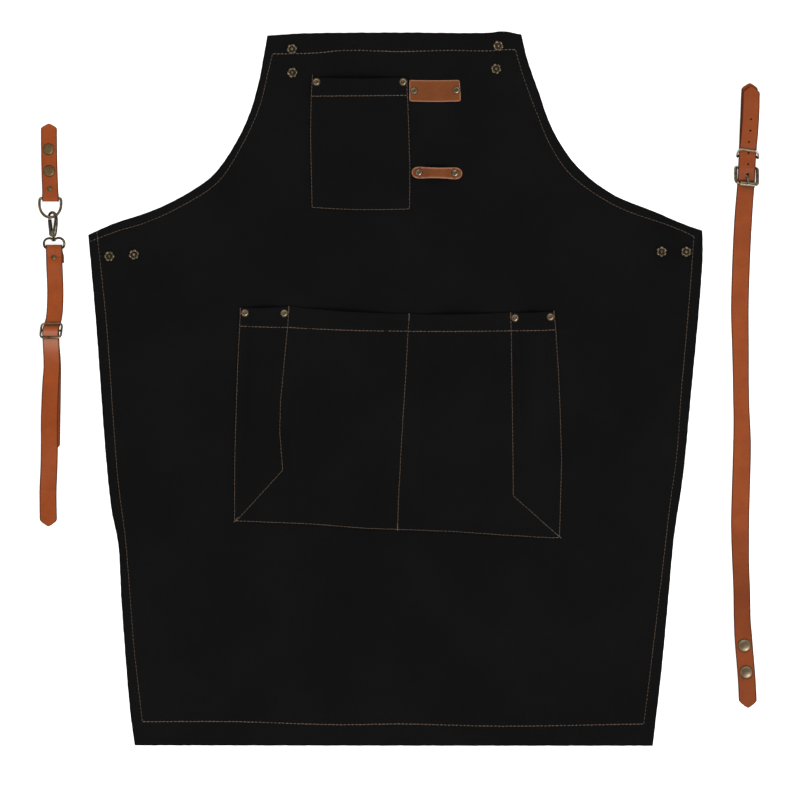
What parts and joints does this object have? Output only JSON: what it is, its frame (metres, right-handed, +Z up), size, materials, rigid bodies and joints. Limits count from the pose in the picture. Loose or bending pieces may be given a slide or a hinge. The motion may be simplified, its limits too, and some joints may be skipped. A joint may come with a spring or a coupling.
{
  "type": "kitchen apron",
  "caption": "Cloth bib apron lying flat with pockets, hems, press studs and rivets, and its leather waist and neck straps with snap hook, slider and buckle unsnapped beside it.",
  "frame": {"origin": "on the floor, below the middle of the whole layout of apron and straps", "axes": "+Z up out of the lying apron, +Y towards its bib, +X to the right seen from above"},
  "size_m": [0.8211, 0.8138, 0.0132],
  "materials": {
    "cloth": "matte woven canvas",
    "strap_leather": "satin",
    "patch_leather": "satin",
    "brass": "antique, darkened",
    "rivet_brass": "antique, darkened"
  },
  "bodies": {
    "apron": {"apron_panel": "cloth", "bib_pocket": "cloth", "lower_pocket": "cloth", "label_patch": "patch_leather", "towel_loop": "patch_leather", "waist_tab": "strap_leather", "waist_strap": "strap_leather", "waist_end_tab": "strap_leather", "neck_strap": "strap_leather", "neck_tab": "strap_leather", "bib_stud_left_1": "brass", "bib_stud_left_2": "brass", "bib_stud_right_1": "brass", "bib_stud_right_2": "brass", "waist_stud_left_1": "brass", "waist_stud_left_2": "brass", "waist_stud_right_1": "brass", "waist_stud_right_2": "brass", "bib_rivet_1": "rivet_brass", "bib_rivet_2": "rivet_brass", "pocket_rivet_1": "rivet_brass", "pocket_rivet_2": "rivet_brass", "pocket_rivet_3": "rivet_brass", "pocket_rivet_4": "rivet_brass", "patch_rivet_1": "rivet_brass", "patch_rivet_2": "rivet_brass", "loop_rivet_1": "rivet_brass", "loop_rivet_2": "rivet_brass", "waist_tab_rivet": "rivet_brass", "waist_strap_rivet": "rivet_brass", "waist_end_rivet": "rivet_brass", "neck_tab_rivet": "rivet_brass", "waist_tab_snap_1": "brass", "waist_tab_snap_2": "brass", "waist_end_snap_1": "brass", "waist_end_snap_2": "brass", "neck_snap_1": "brass", "neck_snap_2": "brass", "neck_tab_snap_1": "brass", "neck_tab_snap_2": "brass", "d_ring": "brass", "swivel_eye": "brass", "strap_slider": "brass", "buckle_frame": "brass", "buckle_roller": "brass", "buckle_tongue": "brass", "strap_keeper": "brass"},
    "hook": {"hook_body": "brass"},
    "gate": {"hook_gate": "brass"}
  },
  "joints": [
    {"name": "hook_swivel", "type": "hinge", "parent": "apron", "child": "hook", "pos_m": [-0.393, 0.1673, 0.0069], "axis": [0.0611, -0.9981, 0], "range_deg": [0, 90]},
    {"name": "gate_lever", "type": "hinge", "parent": "hook", "child": "gate", "pos_m": [-0.39588, 0.17614, 0.00457], "axis": [0.7058, 0.0432, -0.7071], "range_deg": [0, 15], "stiffness_Nm_per_rad": 0.02, "springref_deg": -17.19}
  ]
}
